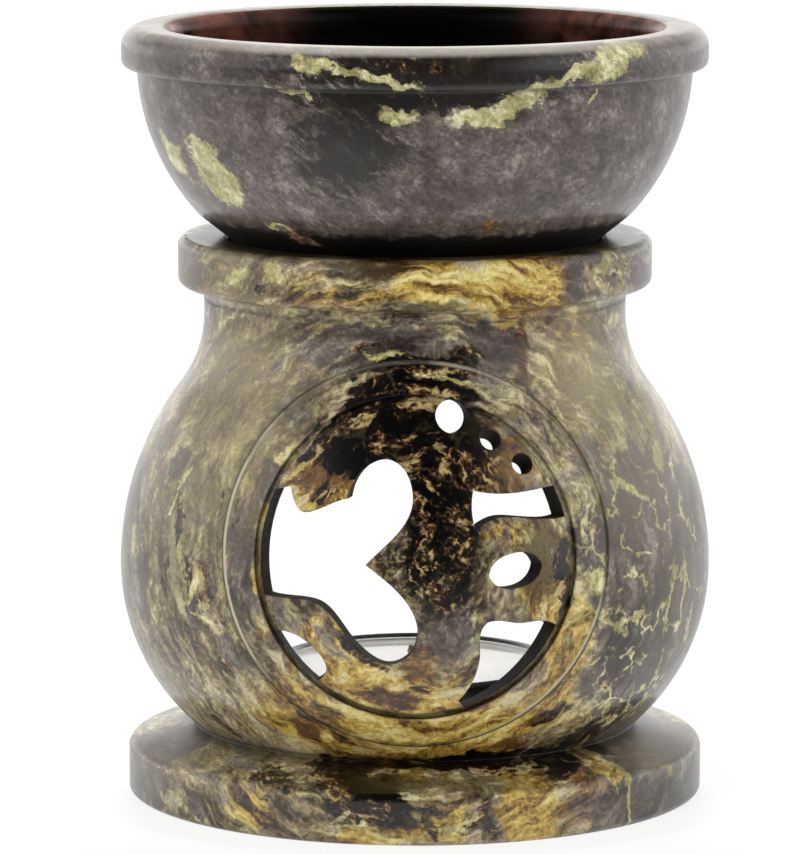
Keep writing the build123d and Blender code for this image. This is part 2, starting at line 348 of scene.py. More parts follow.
def wick_mesh():
    """A braided wick: lobes that twist as they climb, on a line that leans over at the tip.

    The point is the line's (-bend s^2, 0, z) plus r (cos a, sin a), where s is the share of the last
    three tenths that is climbed, and r is the radius times a lobe, 1 - depth (1 - cos of the lobe
    count times a less the twist), times a like ripple for the knots. The last bit closes to the tip.
    """
    rise = np.linspace(0, 1, 140)[:, None]
    angle = (2 * pi * np.arange(36) / 36)[None, :]
    twist = 2 * pi * wick_turns * rise
    lobes = 1 - wick_lobe_depth * (1 - np.cos(wick_lobes * (angle - twist)))
    knots = 1 - wick_knot_depth * (1 + np.cos(2 * pi * wick_knots * rise + 2 * angle))
    close = np.sqrt(np.clip((1 - rise) / 0.06, 0.05, 1))
    radius = wick_radius * lobes * knots * close
    height = tealight_floor + wick_foot + (wick_height - wick_foot) * rise
    lean = -wick_bend * np.clip((rise - 0.7) / 0.3, 0, 1) ** 2
    rings = np.stack([
        lean + radius * np.cos(angle),
        radius * np.sin(angle),
        height + 0 * angle,
    ], axis=-1)
    tip = (lean[-1, 0], 0, tealight_floor + wick_height)
    return skin("wick_braid", rings, (0, 0, tealight_floor + wick_foot), tip)


# Shader building


def colour(code):
    """A colour from its screen code, such as 6b615b, as linear red, green, blue and alpha."""
    screen = np.array([int(code[i : i + 2], 16) for i in (0, 2, 4)]) / 255
    linear = np.where(screen <= 0.04045, screen / 12.92, ((screen + 0.055) / 1.055) ** 2.4)
    return (*linear, 1.0)


class Weaver:
    """Adds nodes to one shader tree. Each method links its inputs and gives back an output."""

    def __init__(self, tree):
        self.tree = tree

    def add(self, kind, inputs, output=0, **settings):
        node = self.tree.nodes.new("ShaderNode" + kind)
        for name, value in settings.items():
            setattr(node, name, value)
        for key, value in inputs.items():
            if isinstance(value, bpy.types.NodeSocket):
                self.tree.links.new(value, node.inputs[key])
            else:
                node.inputs[key].default_value = value
        return node.outputs[output]

    def math(self, operation, a, b=0.0):
        return self.add("Math", {0: a, 1: b}, operation=operation)

    def vector(self, operation, a, b=(0, 0, 0)):
        return self.add("VectorMath", {0: a, 1: b}, operation=operation)

    def length(self, a):
        return self.add("VectorMath", {0: a}, output="Value", operation="LENGTH")

    def blend(self, share, a, b, mode="MIX"):
        inputs = {0: share, 6: a, 7: b}
        return self.add("Mix", inputs, output=2, data_type="RGBA", blend_type=mode)

    def span(self, value, low, high, start=0.0, end=1.0):
        """A smooth step from start to end while value goes from low to high."""
        inputs = {0: value, 1: low, 2: high, 3: start, 4: end}
        return self.add("MapRange", inputs, interpolation_type="SMOOTHSTEP")

    def noise(self, place, scale, detail=4.0, rough=0.55, output=0):
        inputs = {"Vector": place, "Scale": scale, "Detail": detail, "Roughness": rough}
        return self.add("TexNoise", inputs, output=output)

    def ramp(self, value, stops):
        """A colour ramp through (position, colour code) stops."""
        made = self.add("ValToRGB", {0: value})
        elements = made.node.color_ramp.elements
        while len(elements) < len(stops):
            elements.new(1.0)
        for element, (position, code) in zip(elements, stops):
            element.position = position
            element.color = colour(code)
        return made

    def place(self):
        return self.add("TexCoord", {}, output="Object")

    def parts(self, vector):
        split = self.add("SeparateXYZ", {0: vector}).node
        return split.outputs[0], split.outputs[1], split.outputs[2]

    def group(self, tree, inputs, output):
        return self.add("Group", inputs, output=output, node_tree=tree)


def new_group(name, inputs, outputs):
    """A shader node group with named sockets: its tree, its weaver, its inputs and its outputs."""
    tree = bpy.data.node_groups.new(name, "ShaderNodeTree")
    for socket, kind, value in inputs:
        made = tree.interface.new_socket(socket, in_out="INPUT", socket_type="NodeSocket" + kind)
        made.default_value = value
    for socket, kind in outputs:
        tree.interface.new_socket(socket, in_out="OUTPUT", socket_type="NodeSocket" + kind)
    entry = tree.nodes.new("NodeGroupInput").outputs
    leave = tree.nodes.new("NodeGroupOutput").inputs
    return tree, Weaver(tree), entry, leave


def spot_group():
    """A ragged spot on the unrolled outside: 1 in its middle and 0 beyond its reach.

    Flat is the way round and the height. Its offset from Centre is turned back by Turn and divided
    by Reach, and the length of that, pushed in and out by Torn, is the distance that fades.
    """
    tree, w, entry, leave = new_group(
        "stone_spot",
        [("Flat", "Vector", (0, 0, 0)), ("Torn", "Float", 0.5), ("Centre", "Vector", (0, 0, 0)),
         ("Reach", "Vector", (0.01, 0.01, 1.0)), ("Turn", "Float", 0.0), ("Ragged", "Float", 3.0)],
        [("Mask", "Float")],
    )
    offset = w.vector("SUBTRACT", entry["Flat"], entry["Centre"])
    back = {"Vector": offset, "Angle": entry["Turn"]}
    back = w.add("VectorRotate", back, rotation_type="Z_AXIS", invert=True)
    away = w.length(w.vector("DIVIDE", back, entry["Reach"]))
    torn = w.math("MULTIPLY", w.math("SUBTRACT", entry["Torn"], 0.5), entry["Ragged"])
    tree.links.new(w.span(w.math("ADD", away, torn), 1.3, 0.5), leave["Mask"])
    return tree


def flow_group():
    """Folded layers that run round the motif: slow clouds, broad and fine layers, and grain.

    A point is first moved by a slow noise. The layers are a noise of the direction from the motif's
    centre, of the depth and of the distance from that centre: long round it and thin across.
    """
    tree, w, entry, leave = new_group(
        "stone_flow",
        [("Place", "Vector", (0, 0, 0)), ("Fold", "Float", 0.006)],
        [("Cloud", "Float"), ("Broad", "Float"), ("Fine", "Float"), ("Grain", "Float")],
    )
    drift = w.vector("SUBTRACT", w.noise(entry["Place"], 120.0, 4.0, 0.55, "Color"), (0.5, 0.5, 0.5))
    drift = w.add("VectorMath", {0: drift, "Scale": entry["Fold"]}, operation="SCALE")
    folded = w.vector("ADD", entry["Place"], drift)
    x, y, z = w.parts(w.vector("SUBTRACT", folded, (0, 0, motif_height)))
    out = w.length(w.add("CombineXYZ", {0: x, 1: z}))
    depth = w.math("MULTIPLY", y, 45.0)
    reach = w.math("ADD", out, 1.5 * mm)
    around = {0: w.math("DIVIDE", x, reach), 1: depth, 2: w.math("DIVIDE", z, reach)}
    around = w.add("CombineXYZ", around)
    for name, along, across in (("Broad", 3.2, 480.0), ("Fine", 8.0, 1200.0)):
        inputs = {
            "Vector": w.add("VectorMath", {0: around, "Scale": along}, operation="SCALE"),
            "W": w.math("MULTIPLY", out, across),
            "Scale": 1.0,
            "Detail": 4.0,
            "Roughness": 0.6,
        }
        layers = w.add("TexNoise", inputs, noise_dimensions="4D")
        tree.links.new(layers, leave[name])
    tree.links.new(w.noise(folded, 130.0, 5.0, 0.6), leave["Cloud"])
    tree.links.new(w.noise(folded, 1500.0, 4.0, 0.65), leave["Grain"])
    return tree


def vein_group():
    """A broken net of thin veins, along the lines where a wandering noise crosses its middle."""
    tree, w, entry, leave = new_group(
        "stone_veins",
        [("Place", "Vector", (0, 0, 0)), ("Scale", "Float", 110.0), ("Width", "Float", 0.02)],
        [("Mask", "Float")],
    )
    wander = w.noise(entry["Place"], w.math("MULTIPLY", entry["Scale"], 3.5), 4.0, 0.6, "Color")
    wander = w.vector("SUBTRACT", wander, (0.5, 0.5, 0.5))
    wander = w.add("VectorMath", {0: wander, "Scale": 0.0035}, operation="SCALE")
    place = w.vector("ADD", entry["Place"], wander)
    ridge = w.noise(place, entry["Scale"], 2.0, 0.5)
    ridge = w.math("ABSOLUTE", w.math("SUBTRACT", ridge, 0.5))
    line = w.span(ridge, entry["Width"], 0.0)
    broken = w.noise(entry["Place"], w.math("MULTIPLY", entry["Scale"], 2.2), 3.0, 0.6)
    tree.links.new(w.math("MULTIPLY", line, w.span(broken, 0.4, 0.56)), leave["Mask"])
    return tree


def soapstone_group(veins):
    """Soapstone colour: olive and taupe layers, and how far yellow, grey rock, rust, dark clots and
    painted shadow, a soft stain and painted shade, pale veins and cream take their place, from 0,
    not at all, to 1, wholly. The layers tear every edge. Haze makes the layers fainter and paler."""
    shares = ("Haze", "Rock", "Yellow", "Rust", "Dark", "StainAndShade", "Veins", "Cream")
    layers = ("Cloud", "Broad", "Fine", "Grain")
    tree, w, entry, leave = new_group(
        "soapstone",
        [("Place", "Vector", (0, 0, 0))] + [(name, "Float", 0.5) for name in layers]
        + [(name, "Float", 0.0) for name in shares],
        [("Colour", "Color")],
    )

    def torn(share, low, high, **pulls):
        total = entry[share]
        for name, pull in pulls.items():
            swing = w.math("MULTIPLY", w.math("SUBTRACT", entry[name], 0.5), pull)
            total = w.math("ADD", total, swing)
        return w.span(total, low, high)

    tone = w.math("MULTIPLY", entry["Broad"], 0.48)
    tone = w.math("ADD", tone, w.math("MULTIPLY", entry["Fine"], 0.30))
    tone = w.math("ADD", tone, w.math("MULTIPLY", entry["Grain"], 0.22))
    kept = w.math("SUBTRACT", 1.18, w.math("MULTIPLY", entry["Haze"], 0.55))
    tone = w.math("ADD", w.math("MULTIPLY", w.math("SUBTRACT", tone, 0.5), kept), 0.5)
    olive = w.ramp(tone, [(0.42, "30261a"), (0.465, "66593c"), (0.50, "8a7f57"),
                          (0.535, "a79d70"), (0.58, "d8d1a6")])
    taupe = w.ramp(tone, [(0.42, "33271f"), (0.465, "65564a"), (0.50, "85735f"),
                          (0.535, "9f8f76"), (0.58, "c9bda0")])
    yellow = w.ramp(tone, [(0.42, "57391a"), (0.465, "967330"), (0.50, "ba9c4c"),
                           (0.535, "cfb564"), (0.58, "e9dc9a")])
    rock = w.ramp(tone, [(0.41, "2b2421"), (0.46, "443b37"), (0.50, "554b47"),
                         (0.54, "675e58"), (0.59, "8d857b")])
    rust = w.ramp(tone, [(0.43, "2a190f"), (0.50, "624427"), (0.56, "9a713f")])
    dark = w.ramp(tone, [(0.45, "020101"), (0.50, "0a0705"), (0.525, "2a1c12"),
                         (0.55, "6a4c2a"), (0.59, "b5a373")])
    hue = w.noise(entry["Place"], 330.0, 4.0, 0.6)
    olive = w.blend(w.span(hue, 0.43, 0.57), olive, taupe)
    cream = w.ramp(tone, [(0.42, "7f7948"), (0.50, "b0a971"), (0.58, "e2dcb4")])
    shade = w.blend(torn("Yellow", 0.35, 0.65, Fine=1.5, Cloud=-0.8), olive, yellow)
    shade = w.blend(torn("Rock", 0.40, 0.60, Broad=1.5, Cloud=1.2), shade, rock)
    shade = w.blend(w.math("MULTIPLY", entry["Haze"], 0.15), shade, colour("a99d76"))
    shade = w.blend(torn("Rust", 0.42, 0.68, Grain=1.6, Fine=0.8), shade, rust)
    # The stain share also carries painted shade from the body's marks
    stain_shade_share = w.math("MULTIPLY", torn("StainAndShade", 0.1, 0.95, Broad=0.9, Fine=0.5), 0.92)
    shade = w.blend(stain_shade_share, shade, colour("130d0a"))
    # The dark share also carries painted shadow from the body's marks
    shade = w.blend(torn("Dark", 0.40, 0.58, Broad=1.3, Fine=1.6), shade, dark)
    net = {"Place": entry["Place"], "Scale": 150.0, "Width": 0.032}
    net = w.math("MULTIPLY", w.group(veins, net, "Mask"), entry["Veins"])
    shade = w.blend(w.math("MULTIPLY", net, 0.95), shade, cream)
    shade = w.blend(torn("Cream", 0.33, 0.66, Fine=1.1, Grain=0.4), shade, cream)
    tree.links.new(shade, leave["Colour"])
    return tree


def polish_group():
    """Hand polish: a roughness that drifts with the grain, and a height of grain and scratches."""
    tree, w, entry, leave = new_group(
        "hand_polish",
        [("Place", "Vector", (0, 0, 0)), ("Grain", "Float", 0.5), ("Roughness", "Float", 0.3)],
        [("Roughness", "Float"), ("Height", "Float")],
    )
    drift = w.noise(entry["Place"], 90.0, 4.0, 0.6)
    rough = w.math("ADD", entry["Roughness"], w.math("MULTIPLY", w.math("SUBTRACT", drift, 0.5), 0.22))
    rough = w.math("ADD", rough, w.math("MULTIPLY", w.math("SUBTRACT", entry["Grain"], 0.5), 0.2))
    drawn = {"Vector": entry["Place"], "Rotation": (0.3, 0.5, 0.2), "Scale": (30.0, 1.0, 1.0)}
    scratch = w.noise(w.add("Mapping", drawn, vector_type="TEXTURE"), 5200.0, 2.0, 0.5)
    height = w.math("ADD", w.math("MULTIPLY", entry["Grain"], 0.6), w.math("MULTIPLY", scratch, 0.4))
    tree.links.new(rough, leave["Roughness"])
    tree.links.new(height, leave["Height"])
    return tree


def spots(w, spot, flat, torn, start, marks):
    """start plus each mark's weight. A mark is its angle from the front and its height, its half
    length and half width, how far its length turns up to the right, and its weight."""
    total = start
    for angle, height, length, width, turn, weight in marks:
        inputs = {
            "Flat": flat,
            "Torn": torn,
            "Centre": (radians(angle) * unrolled_radius, height * mm, 0),
            "Reach": (length * mm, width * mm, 1),
            "Turn": radians(turn),
        }
        mask = w.group(spot, inputs, "Mask")
        total = w.math("ADD", w.math("MULTIPLY", mask, weight), total)
    return total


def unrolled(w, place, x, y, z):
    """The outside laid flat: the way round from the front on the unrolled radius, and the height,
    both pushed about a little by a noise."""
    angle = w.math("ARCTAN2", x, w.math("MULTIPLY", y, -1.0))
    flat = w.add("CombineXYZ", {0: w.math("MULTIPLY", angle, unrolled_radius), 1: z})
    push = w.vector("SUBTRACT", w.noise(place, 300.0, 4.0, 0.6, "Color"), (0.5, 0.5, 0.5))
    return w.vector("ADD", flat, w.vector("MULTIPLY", push, (unrolled_push, unrolled_push, 0)))


def new_material(name):
    """A material with an empty tree, its weaver, and its shader linked to the output."""
    material = bpy.data.materials.new(name)
    material.use_nodes = True
    tree = material.node_tree
    tree.nodes.clear()
    shader = tree.nodes.new("ShaderNodeBsdfPrincipled")
    output = tree.nodes.new("ShaderNodeOutputMaterial")
    tree.links.new(shader.outputs[0], output.inputs["Surface"])
    return material, Weaver(tree), shader


def finish_stone(w, shader, shade, grain, dulled, polish, place, edge_round):
    """Links colour, polish and bump to a stone's shader, with its sharp edges shown worn. The
    polish is missing where the stone is dulled."""
    roughness = w.math("ADD", w.math("MULTIPLY", dulled, 0.3), 0.36)
    tree = w.tree
    made = w.group(polish, {"Place": place, "Grain": grain, "Roughness": roughness}, "Roughness").node
    coat = w.math("SUBTRACT", 0.35, w.math("MULTIPLY", dulled, 0.35))
    worn = w.add("Bevel", {"Radius": edge_round}, samples=4)
    bump = {"Height": made.outputs["Height"], "Normal": worn, "Strength": 0.12, "Distance": 0.15 * mm}
    tree.links.new(shade, shader.inputs["Base Color"])
    tree.links.new(made.outputs["Roughness"], shader.inputs["Roughness"])
    tree.links.new(w.add("Bump", bump), shader.inputs["Normal"])
    shader.inputs["IOR"].default_value = 1.46
    tree.links.new(coat, shader.inputs["Coat Weight"])
    shader.inputs["Coat Roughness"].default_value = 0.12


# Marks of the body: angle from the front, height, half length, half width, turn and weight.
# Grey rock, less of it where the weight is negative
body_rock = [
    (-78, 72.5, 10, 6, 0, 0.9),
    (77, 72.5, 9, 6, 0, 0.9),
    (41, 72.3, 2.4, 4, 0, 0.7),
    (0, 72.5, 36, 6, 0, -0.6),
    (-10, 64.5, 13, 3, 0, 0.8),
    (18, 63.5, 7, 3.6, 0, 0.8),
    (-52, 38, 13, 28, 0, -0.35),
    (-36, 37, 2.4, 10, 5, 0.6),
    (-31, 47, 2.2, 4.5, 35, 0.5),
    (-47, 30, 2.4, 7, 0, 0.5),
    (56, 28, 17, 22, 0, 0.75),
    (44, 24, 4, 6, 0, 0.5),
    (46, 60, 10, 8, 0, -0.5),
    (51, 73, 5, 4, 0, -0.4),
    (-4, 16, 32, 9, 0, -0.6),
    (30, 27, 4.5, 10, 0, -0.7),
    (70, 5, 20, 9, 0, 0.9),
    (-74, 5, 10, 8, 0, 0.9),
    (0, 4, 28, 7, 0, -0.35),
    (-48, 2.6, 3, 2, -30, 0.6),
    (-28, 3, 4, 2.4, 20, 0.4),
    (41, 4, 5, 6, 0, 0.7),
    (14, 4, 2.2, 5, 0, 0.6),
    (-19, 47.5, 6, 4, 0, -0.9),
    (-58, 46, 4, 5, 20, 0.5),
    (-44, 72.5, 8, 5, 0, -0.3),
    (-66, 30, 3, 6, 0, 0.5),
    (105, 30, 18, 12, 35, 0.5),
    (120, 58, 16, 7, 20, 0.5),
    (-125, 22, 16, 9, -25, 0.5),
    (-112, 56, 14, 8, 30, 0.45),
    (160, 5, 22, 6, 0, 0.5),
    (6, 29, 3.4, 6, 0, 0.5),
    (44.5, 8.6, 2.8, 2.6, 0, -1.6),
    (25, 37, 5, 7, 0, -0.9),
    (-38, 24, 4, 3, -20, 0.5),
    (-45, 38, 3, 7, 10, 0.4),
]
# Yellow ochre
body_yellow = [
    (25, 72.5, 10, 6, 0, 0.9),
    (4, 73, 9, 4, 0, 0.45),
    (-20, 72, 10, 4, 0, 0.3),
    (-10, 16, 24, 8, 0, 0.55),
    (10, 14, 12, 5, 0, 0.5),
    (30, 27, 4.5, 9, 0, 0.55),
    (-19, 47.5, 6, 3.8, 0, 0.85),
    (25, 36, 4.5, 6, 0, 0.9),
    (44.5, 8.6, 2.4, 2.6, 0, 1.3),
    (0, 8.4, 18, 1.4, 0, 0.12),
    (6, 3.4, 4, 4, 0, 0.45),
    (-33, 3.4, 8, 4, 0, 0.3),
    (32, 16.5, 6, 4, 0, 0.35),
    (20, 41, 6, 2, 0, 0.55),
    (-15, 26, 9, 4.5, -20, 0.4),
    (23, 3.6, 4.8, 6, 0, 0.95),
    (-8, 1.2, 6, 1.8, 0, 0.8),
    (-30, 36, 1.8, 10, 0, 0.55),
    (46, 64, 5, 5, 0, 0.28),
    (-118, 40, 14, 8, 20, 0.45),
    (140, 24, 12, 8, -30, 0.45),
    (150, 72, 18, 6, 0, 0.45),
    (-130, 72, 16, 6, 0, 0.4),
]
# Dark clots and layers, and painted shadow: under the lobe of an opening and along the foot
body_dark_and_shadow = [
    (-8, 54, 10, 7, 10, 0.9),
    (2, 59, 11, 2.4, -5, 0.5),
    (-22, 52, 5, 1.3, 40, 0.55),
    (5, 41, 6, 12, 0, 0.66),
    (44, 18, 5, 1.0, -55, 0.5),
    (52, 14, 5, 1.0, 30, 0.5),
    (-62, 22, 4, 1.0, -40, 0.5),
    (-40, 22, 3, 1.2, -50, 0.45),
    (30, 16, 4, 1.4, 20, 0.62),
    (12, 51, 6, 7, 0, 0.45),
    (29, 35, 1.4, 6, 0, 0.65),
    (-10, 25.5, 6, 1.3, -35, 0.55),
    (-19, 46, 2.6, 1, 15, 0.75),
    (6, 61.8, 9, 1.5, -5, 0.65),
    (-3, 68.5, 6, 1, 0, 0.45),
    (20, 9.6, 13, 1.4, 0, 0.75),
    (-13, 9.3, 11, 1, 0, 0.55),
    (-10, 5, 7, 3.2, -10, 0.62),
    (-31, 7.4, 5, 0.9, -8, 0.55),
    (-14, 7.3, 9, 1, -10, 0.65),
    (14, 4, 1.8, 5, 10, 0.42),
    (-50, 12.5, 4, 1.3, -30, 0.55),
    (14, 20, 5, 2.8, 30, 0.45),
    (48, 13, 9, 2.8, 15, 0.62),
    (-40, 71, 2.4, 0.8, 10, 0.55),
    (55, 72, 2.2, 0.9, 40, 0.55),
    (-12, 64, 5, 1.1, 10, 0.5),
    (14, 63.6, 5, 1.4, -10, 0.5),
    (-49, 34, 1.8, 3, 10, 0.45),
    (36, 8.8, 4.4, 1.4, 0, 0.7),
    (-44, 33, 2.4, 6, 12, 0.42),
    (-40, 43, 2.6, 4, 25, 0.4),
    (-53, 40, 1.2, 5, 15, 0.5),
    (-56, 33, 1.0, 4, -10, 0.5),
    (3, 3.0, 0.8, 3, 10, 0.5),
    (10, 2.6, 2, 0.6, 30, 0.55),
    (51, 9.2, 2.6, 1.0, 0, 0.7),
]
# Rusty brown
body_rust = [
    (18, 50, 8, 6, -35, 0.55),
    (5, 40, 7, 11, 0, 0.42),
    (44, 8.6, 1.2, 2.4, 0, 0.45),
    (1, 24, 3.4, 3.4, 0, 0.6),
    (-28, 70.3, 4, 1.2, 0, 0.5),
    (14, 72, 3, 4, 0, 0.3),
    (38, 71, 1.4, 5, 0, 0.55),
    (-24, 14.5, 3.4, 2.8, 20, 0.65),
    (-5, 19.3, 5, 1.8, 0, 0.65),
    (36, 8, 6, 2.2, -30, 0.55),
    (33, 3.5, 4, 4, 0, 0.35),
    (29, 64, 1.4, 5, 0, 0.6),
    (-10, 75, 7, 1.4, 0, 0.5),
    (-19, 47.5, 6, 3.4, 0, 0.75),
    (25, 34, 4, 5, 0, 0.35),
]
# Soft dark stain, and painted shade: on the collar's front under the bowl and on the disc's top under
# the belly
body_stain_and_shade = [
    (-4, 55, 14, 7, 0, 0.6),
    (5, 42, 8, 14, 0, 0.6),
    (14, 52, 8, 7, 0, 0.4),
    (0, 62, 14, 3, 0, 0.4),
    (-12, 74.6, 9, 2.2, 0, 0.6),
    (3, 70, 8, 1.3, 8, 0.6),
    (-44, 71, 5, 2.5, 0, 0.3),
    (0, 7.6, 26, 1.3, 0, 0.52),
    (-9, 5, 8, 4, -10, 0.5),
    (44, 26, 5, 8, 0, 0.3),
    (-54, 38, 10, 16, 0, 0.42),
    (-56, 61, 10, 6, 0, 0.25),
    (-19, 48, 6, 4, 0, 0.4),
    (25, 37.5, 5, 7, 0, 0.68),
    (41.5, 72.3, 2.6, 4, 0, 0.45),
    (75, 3, 14, 3.4, 0, 0.55),
    (-80, 3, 10, 3.4, 0, 0.5),
    (53, 22, 10, 7, 0, 0.4),
    (82, 32, 10, 18, 0, 0.5),
    (-80, 32, 8, 20, 0, 0.45),
    (25, 72.5, 9, 5, 0, 0.15),
]
# Pale haze over faint layers
body_haze = [
    (-48, 52, 14, 12, 0, 0.85),
    (-54, 63, 12, 7, 0, 0.4),
    (47, 62, 10, 8, 0, 0.95),
    (50, 50, 10, 10, 0, 0.75),
    (68, 40, 10, 16, 0, 0.25),
    (-64, 72.5, 12, 5, 0, 0.6),
    (-42, 73, 6, 4, 0, 0.5),
    (67, 8.6, 14, 2.6, 0, 1.3),
    (-68, 8, 12, 6, 0, 0.5),
    (150, 40, 56, 50, 0, 0.45),
    (-150, 40, 56, 50, 0, 0.45),
]
# Where the outer engraved circle still shows pale
body_scribe = [
    (-37, 37, 6, 18, 0, 0.9),
    (25, 55.5, 8, 3, -43, 0.75),
    (30, 23, 12, 4, 53, 0.8),
    (10, 61.5, 4, 2, -15, 0.4),
]
# Net of pale veins
body_veins = [
    (54, 33, 18, 24, 0, 1.5),
    (-46, 30, 6, 9, 0, 0.6),
    (50, 16, 11, 6, 0, 0.6),
]
# Cream streaks and cracks
body_cream = [
    (63, 48.5, 2.8, 1.2, 55, 0.8),
    (49, 45, 4, 0.8, -35, 0.65),
    (37, 34, 2.6, 1.6, -60, 0.65),
    (58, 30, 6, 0.5, 80, 0.65),
    (64, 30, 6, 0.5, 82, 0.65),
    (47, 28, 4, 0.6, 10, 0.7),
    (45, 17, 4, 0.4, -65, 0.7),
    (53, 16, 4, 0.4, -60, 0.7),
    (-47, 32.5, 3.6, 0.8, 70, 0.7),
    (-44, 27.8, 3.2, 0.4, -25, 0.8),
    (46.6, 8.6, 0.7, 2.6, 0, 0.75),
    (42.4, 8.8, 0.5, 1.6, 0, 0.6),
    (46.4, 3.5, 3.8, 0.42, 88, 1.2),
    (43.6, 6.2, 1.4, 0.25, 80, 0.8),
    (-47, 72.6, 2.6, 1.0, 20, 0.66),
    (-35, 73.6, 2.2, 0.9, -20, 0.62),
    (50, 74, 2.6, 0.9, 30, 0.66),
    (-42, 72.8, 10, 4, 0, 0.36),
    (57, 73, 7, 4, 0, 0.36),
    (-57, 42, 3, 0.5, 60, 0.6),
    (2, 60.6, 4, 0.5, -6, 0.5),
    (-51, 36, 0.8, 4, 12, 0.64),
    (-54, 46, 2.5, 0.6, 60, 0.62),
    (-9, 63.2, 5, 0.6, -4, 0.6),
    (9, 60.6, 5, 0.5, -8, 0.6),
    (-9, 2.0, 4, 0.7, -15, 0.64),
    (-15, 3.8, 2.5, 0.6, 25, 0.62),
    (7, 2.2, 3, 0.9, 10, 0.62),
]

# Marks of the bowl, in the same order of sizes
bowl_cream = [
    (-20, 102, 4.2, 1.6, -5, 0.62),
    (-8, 100.4, 7, 1.0, -14, 0.62),
    (-3.5, 95.7, 3.6, 1.4, -8, 0.64),
    (13, 95.3, 5.4, 1.8, 8, 0.68),
    (22, 97.6, 5.8, 1.8, 28, 0.68),
    (31, 100.4, 4, 0.9, 25, 0.6),
    (41, 102, 8, 2.2, 15, 0.62),
    (38, 97.5, 1.5, 0.3, 60, 0.8),
    (-25, 98.3, 3.6, 0.5, -12, 0.8),
    (-50, 86.4, 6.0, 4.6, -28, 0.8),
    (-66, 88, 4.8, 2.6, -40, 0.74),
    (-37, 79.4, 2.4, 0.35, -12, 0.8),
    (118, 99, 8, 1.4, 14, 0.66),
    (136, 95.6, 5, 1.6, 24, 0.66),
    (164, 88, 6, 2.2, -28, 0.68),
    (-128, 101.6, 7, 1.6, -6, 0.64),
    (-146, 96.5, 6, 1.3, -14, 0.66),
]
bowl_dark = [
    (8, 102.3, 17, 1.9, 0, 0.4),
    (-5, 97.8, 11, 1.4, 0, 0.4),
]
bowl_stain = [
    (7, 101.4, 23, 4.4, 0, 1.15),
    (-4, 97.6, 15, 2, 0, 0.8),
    (-14, 91, 9, 6.5, 15, 0.9),
    (-34, 101, 10, 2.4, 0, 0.42),
    (-54, 101.6, 6, 2.4, 0, 0.5),
    (0, 79.5, 30, 2, 0, 0.3),
    (150, 95, 12, 6, 12, 0.8),
    (-118, 90, 10, 6, -15, 0.7),
    (-150, 101.5, 16, 2.6, 0, 0.8),
]
bowl_rust = [
    (3, 102.3, 8, 1.6, 0, 0.45),
    (19, 79.9, 2, 1, 0, 0.7),
    (-34, 78.8, 3, 0.7, -10, 0.6),
]
# Bare brown stone where the stone is chipped, in the painted black shade under the bowl
bowl_chip = [
    (-31, 78.1, 3.6, 0.9, -6, 0.9),
]


